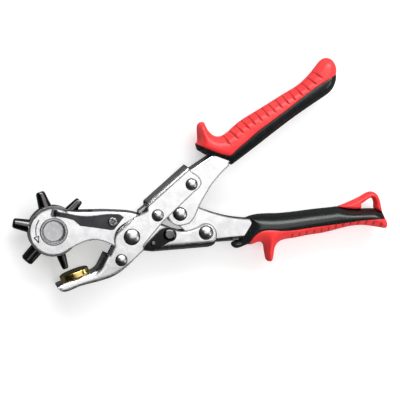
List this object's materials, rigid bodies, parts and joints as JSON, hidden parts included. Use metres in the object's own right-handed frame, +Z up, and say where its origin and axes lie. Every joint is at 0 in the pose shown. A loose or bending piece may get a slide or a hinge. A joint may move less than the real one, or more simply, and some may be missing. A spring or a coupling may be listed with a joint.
{
  "type": "rotary hole punch",
  "caption": "Compound-lever revolving leather punch: turret of tapered punch tubes on the upper jaw, brass anvil on the lower jaw, two-colour grips, lock catch and hang loop.",
  "frame": {"origin": "centre of the tool's outline on the surface that it lies on", "axes": "+X from the jaws to the handles, +Z up out of the flat tool, +Y towards the upper handle"},
  "size_m": [0.2515, 0.1544, 0.024],
  "materials": {
    "nickel_steel": "nickel plated, polished sheet with soft rub marks",
    "rivet_steel": "polished domed heads",
    "turned_steel": "turned and nickel plated",
    "plain_steel": "plain zinc grey",
    "spring_steel": "dark tempered",
    "black_oxide": "black oxide, slightly oily",
    "brass_anvil": "turned, with a worn face",
    "red_grip": "satin soft-touch moulding",
    "black_grip": "satin soft-touch moulding"
  },
  "bodies": {
    "frame": {"lower_jaw_frame": "nickel_steel", "anvil": "brass_anvil", "anvil_rivet": "plain_steel", "jaw_pivot_rivet": "rivet_steel", "upper_handle_rivet": "rivet_steel", "frame_spacer_rivets": "rivet_steel", "frame_spacer_sleeves": "plain_steel", "opening_stop": "plain_steel", "return_spring": "spring_steel"},
    "upper_jaw": {"upper_jaw": "nickel_steel", "turret_axle": "turned_steel", "index_spring": "spring_steel", "index_spring_screw": "rivet_steel", "jaw_pivot_sleeve": "plain_steel", "lock_catch_rivet": "black_oxide"},
    "lock_catch": {"lock_catch": "black_oxide", "lock_catch_stud": "black_oxide"},
    "turret": {"turret_wheel": "turned_steel", "turret_washers": "plain_steel", "punch_tube_1": "black_oxide", "punch_tube_2": "black_oxide", "punch_tube_3": "black_oxide", "punch_tube_4": "black_oxide", "punch_tube_5": "black_oxide", "punch_tube_6": "black_oxide"},
    "upper_handle": {"upper_handle": "nickel_steel", "upper_handle_sleeve": "plain_steel", "handle_pivot_rivet": "rivet_steel", "upper_grip_core": "black_grip", "upper_grip_shell": "red_grip"},
    "lower_handle": {"lower_handle": "nickel_steel", "tail_pivot_rivet": "rivet_steel", "handle_pivot_sleeve": "plain_steel", "tail_pivot_sleeve": "plain_steel", "lower_grip_core": "black_grip", "lower_grip_shell": "red_grip", "hang_loop": "red_grip"}
  },
  "joints": [
    {"name": "upper_handle_turn", "type": "hinge", "parent": "frame", "child": "upper_handle", "pos_m": [-0.00874, -0.00644, 0.012], "axis": [0, 0, -1], "range_deg": [-3.8, 5.2], "stiffness_Nm_per_rad": 1.5},
    {"name": "jaw_turn", "type": "hinge", "parent": "frame", "child": "upper_jaw", "pos_m": [-0.04784, -0.04114, 0.012], "axis": [0, 0, 1], "range_deg": [-2.6, 3.5]},
    {"name": "lower_handle_turn", "type": "hinge", "parent": "upper_handle", "child": "lower_handle", "pos_m": [-0.01594, -0.02614, 0.012], "axis": [0, 0, 1], "range_deg": [-9.3, 12.7]},
    {"name": "turret_turn", "type": "hinge", "parent": "upper_jaw", "child": "turret", "pos_m": [-0.09904, -0.03784, 0.012], "axis": [0, 0, 1], "continuous": true},
    {"name": "catch_turn", "type": "hinge", "parent": "upper_jaw", "child": "lock_catch", "pos_m": [-0.02294, -0.03974, 0.012], "axis": [0, 0, 1], "range_deg": [0, 40]}
  ],
  "couplings": [
    {"joint": "jaw_turn", "follows": "upper_handle_turn", "ratio": 0.67},
    {"joint": "lower_handle_turn", "follows": "upper_handle_turn", "ratio": 2.44}
  ]
}
